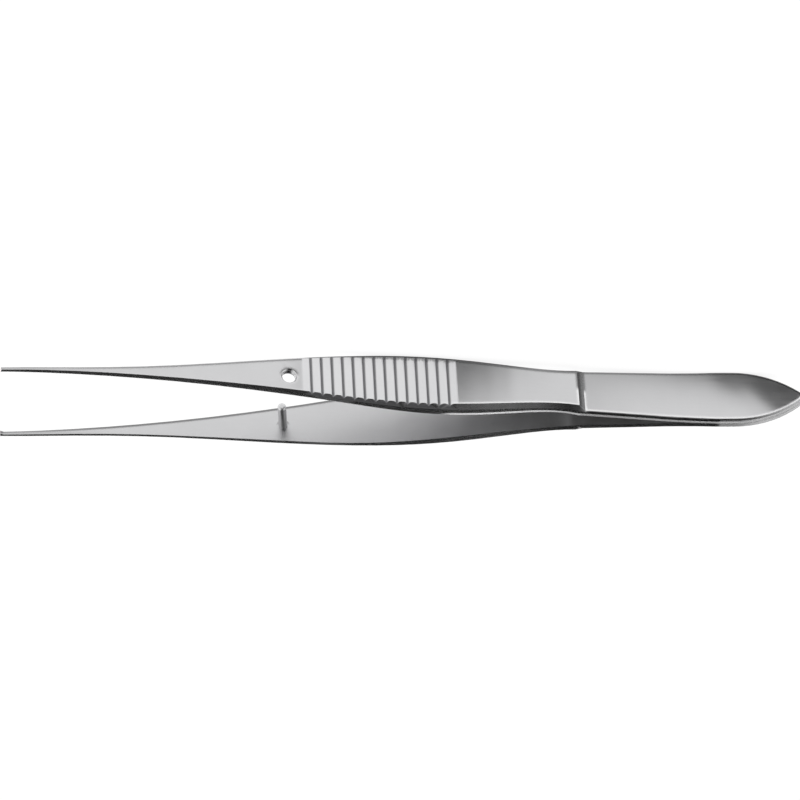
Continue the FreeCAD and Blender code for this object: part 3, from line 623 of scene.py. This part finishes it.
def ends_of(node_name, start_axis):
    """The two ends of a round piece's centre line, found from its own points."""
    points = [vertex.co.copy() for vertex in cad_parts[node_name].data.vertices]
    axis = Vector(start_axis).normalized()
    for _ in range(AXIS_ROUNDS):
        reach = [point.dot(axis) for point in points]
        low = min(reach)
        high = max(reach)
        close = END_SHARE * (high - low)
        first = [point for point, place in zip(points, reach) if place < low + close]
        last = [point for point, place in zip(points, reach) if place > high - close]
        start = sum(first, Vector()) / len(first)
        end = sum(last, Vector()) / len(last)
        axis = (end - start).normalized()
    start -= axis * (start.dot(axis) - low)
    end += axis * (high - end.dot(axis))
    return start, end


def guide_pin(finish):
    """The turned pin, from its foot in the pin arm to its domed tip between the arms."""
    tip, foot = ends_of("guide_pin", (0, 1, 0))
    piece = new_object("guide_pin_turned", bpy.data.meshes.new("guide_pin_turned"))
    made_by_tree(piece, turned_pin_tree(), {
        "Foot": foot, "Tip": tip, "Radius": PIN_RADIUS, "Flat Radius": PIN_FLAT_RADIUS,
        "Dome Height": PIN_DOME, "Rings": PIN_RINGS, "Sides": PIN_SIDES, "Finish": finish})
    work = bmesh.new()
    work.from_mesh(piece.data)
    bmesh.ops.recalc_face_normals(work, faces=work.faces)
    work.to_mesh(piece.data)
    work.free()
    piece.data.shade_smooth()
    piece.data.set_sharp_from_angle(angle=PIN_SHARP_ANGLE)
    return piece


# camera, floor and light

def make_camera():
    """The photograph's camera, placed by where it looks, from which side, and what it has on its right."""
    data = bpy.data.cameras.new("photo_camera")
    data.lens = LENS_MM
    data.sensor_width = SENSOR_MM
    data.sensor_fit = "HORIZONTAL"
    data.clip_start = 0.01
    data.clip_end = 20
    camera = new_object("photo_camera", data)
    up = TO_CAMERA.cross(IMAGE_RIGHT)
    right = up.cross(TO_CAMERA)
    aim = LOOK_AT + right * SHIFT_RIGHT + up * SHIFT_UP
    axes = Matrix((right, up, TO_CAMERA)).transposed().to_4x4()
    camera.matrix_world = Matrix.Translation(aim + TO_CAMERA * CAMERA_DISTANCE) @ axes
    bpy.context.scene.camera = camera


def make_floor():
    """Pale floor that shows as white, to the eye and in the metal, and keeps a faint shadow."""
    work = bmesh.new()
    bmesh.ops.create_grid(work, x_segments=1, y_segments=1, size=FLOOR_SIZE)
    mesh = bpy.data.meshes.new("floor")
    work.to_mesh(mesh)
    work.free()
    floor = new_object("floor", mesh)
    material = bpy.data.materials.new("pale_floor")
    material.use_nodes = True
    graph = Graph(material.node_tree)
    graph.tree.nodes.clear()
    rays = graph.node("ShaderNodeLightPath").outputs
    seen = graph.calc("ADD", rays["Is Camera Ray"], rays["Is Glossy Ray"])
    seen = graph.calc("ADD", seen, rays["Is Transmission Ray"], clamp=True)
    open_sky = graph.node(
        "ShaderNodeAmbientOcclusion", {"Distance": SHADE_REACH}, samples=SHADE_SAMPLES).outputs["AO"]
    in_metal = graph.spread(open_sky, *METAL_SHADE)
    to_eye = graph.spread(open_sky, *EYE_SHADE)
    glow_level = graph.blend_values(rays["Is Camera Ray"], in_metal, to_eye)
    plain = graph.node("ShaderNodeBsdfDiffuse", {"Color": PALE_FLOOR})
    dim = graph.node("ShaderNodeBsdfDiffuse", {"Color": DIM_FLOOR})
    glow = graph.node("ShaderNodeEmission", {"Color": WHITE, "Strength": glow_level})
    shown = graph.node("ShaderNodeAddShader", {0: dim.outputs["BSDF"], 1: glow.outputs["Emission"]})
    mixed = graph.node("ShaderNodeMixShader", {
        0: seen, 1: plain.outputs["BSDF"], 2: shown.outputs["Shader"]})
    graph.node("ShaderNodeOutputMaterial", {"Surface": mixed.outputs["Shader"]})
    floor.data.materials.append(material)


def make_world():
    """Soft studio: a pale wall of light at each end, a low window behind, and a dark roof between them."""
    world = bpy.data.worlds.new("studio")
    bpy.context.scene.world = world
    world.use_nodes = True
    graph = Graph(world.node_tree)
    graph.tree.nodes.clear()
    way = graph.node("ShaderNodeTexCoord").outputs["Generated"]
    parts = graph.node("ShaderNodeSeparateXYZ", {0: way}).outputs
    tip_wall = graph.spread(parts["X"], *TIP_WALL, ROOF_LEVEL, WALL_LEVEL)
    butt_wall = graph.spread(parts["X"], *BUTT_WALL, 0.0, WALL_LEVEL)
    over_sill = graph.spread(parts["Z"], *WINDOW_SILL, 0.0, 1.0)
    under_head = graph.spread(parts["Z"], *WINDOW_HEAD, 1.0, 0.0)
    behind = graph.spread(parts["Y"], *WINDOW_SIDE, 0.0, WINDOW_LEVEL)
    window = graph.product(behind, over_sill, under_head)
    tone = graph.calc("MAXIMUM", graph.calc("MAXIMUM", tip_wall, butt_wall), window)
    rays = graph.node("ShaderNodeLightPath").outputs
    tone = graph.blend_values(rays["Is Camera Ray"], tone, 1.0)
    light = graph.node("ShaderNodeBackground", {"Color": WHITE, "Strength": tone})
    graph.node("ShaderNodeOutputWorld", {"Surface": light.outputs["Background"]})


def main():
    clear_defaults()
    bpy.context.scene.view_settings.view_transform = "Standard"
    make_camera()
    near_steel = steel("hole_arm_steel", *ARM_FINISH, -1)
    far_steel = steel("pin_arm_steel", *ARM_FINISH, 1)
    turned = steel("turned_pin_steel", *PIN_FINISH, 0)
    ribbed = ribbed_blade_tree()

    hole_arm = blade("hole_arm", "hole_arm_blade", 1, True, ribbed, near_steel)
    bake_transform(hole_arm)
    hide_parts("hole_arm")

    pin_arm = blade("pin_arm", "pin_arm_blade", -1, False, ribbed, far_steel)
    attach(pin_arm, "pin_side")
    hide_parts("pin_arm")

    pin = guide_pin(turned)
    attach(pin, "pin_side")
    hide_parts("guide_pin")

    make_floor()
    make_world()


main()
